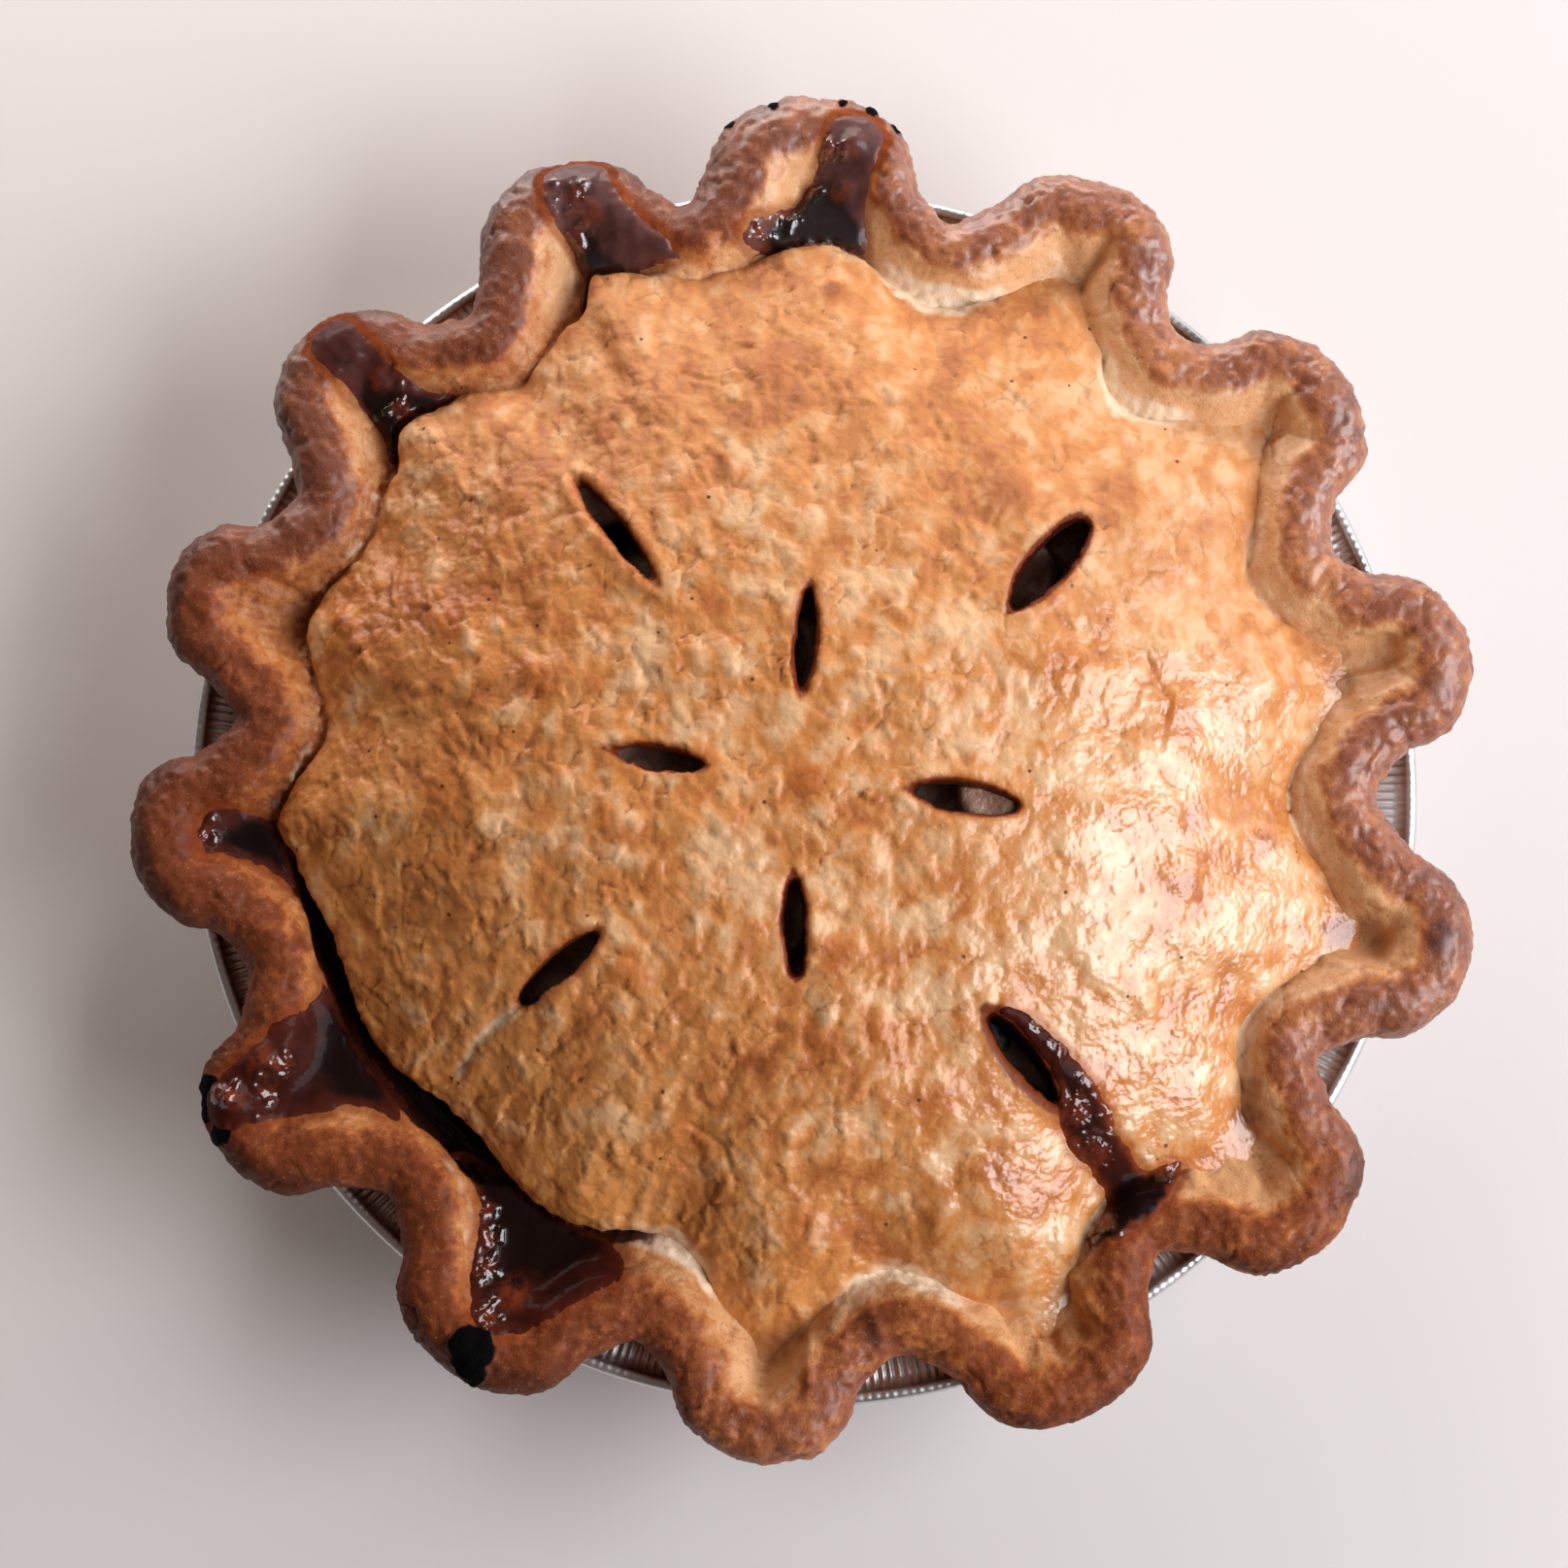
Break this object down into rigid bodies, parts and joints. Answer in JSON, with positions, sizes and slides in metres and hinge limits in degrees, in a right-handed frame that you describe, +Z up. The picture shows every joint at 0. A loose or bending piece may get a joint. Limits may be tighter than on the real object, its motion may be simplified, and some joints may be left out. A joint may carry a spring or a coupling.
{
  "type": "apple pie",
  "caption": "Whole baked apple pie with a domed, slit pastry lid and a deeply fluted hand-crimped rim, in its own foil tin.",
  "frame": {"origin": "centre of the foil tin's flat underside, on the surface that the pie stands on", "axes": "+Z up, +X to the picture's right, +Y towards the picture's top edge"},
  "size_m": [0.2406, 0.2462, 0.0646],
  "materials": {
    "foil": "bright rolled foil, finely pleated on the flange and wall",
    "rim_crust": "baked shortcrust, deep golden brown, darker on the lobes' outer edges, rough and pebbly",
    "lid_crust": "egg-washed shortcrust, golden, blistered, with a soft shine",
    "apple_filling": "stewed apple pieces in dark syrup, wet",
    "syrup": "boiled-over caramelised apple syrup, dark red-brown, glossy, bubbled"
  },
  "bodies": {
    "root": {"foil_tin": "foil", "pastry_case": "rim_crust", "apple_filling": "apple_filling", "pastry_lid": "lid_crust", "syrup_pool_1": "syrup", "syrup_pool_2": "syrup", "syrup_pool_3": "syrup", "syrup_pool_4": "syrup", "syrup_pool_5": "syrup", "syrup_pool_6": "syrup", "syrup_pool_waist": "syrup"}
  },
  "joints": []
}
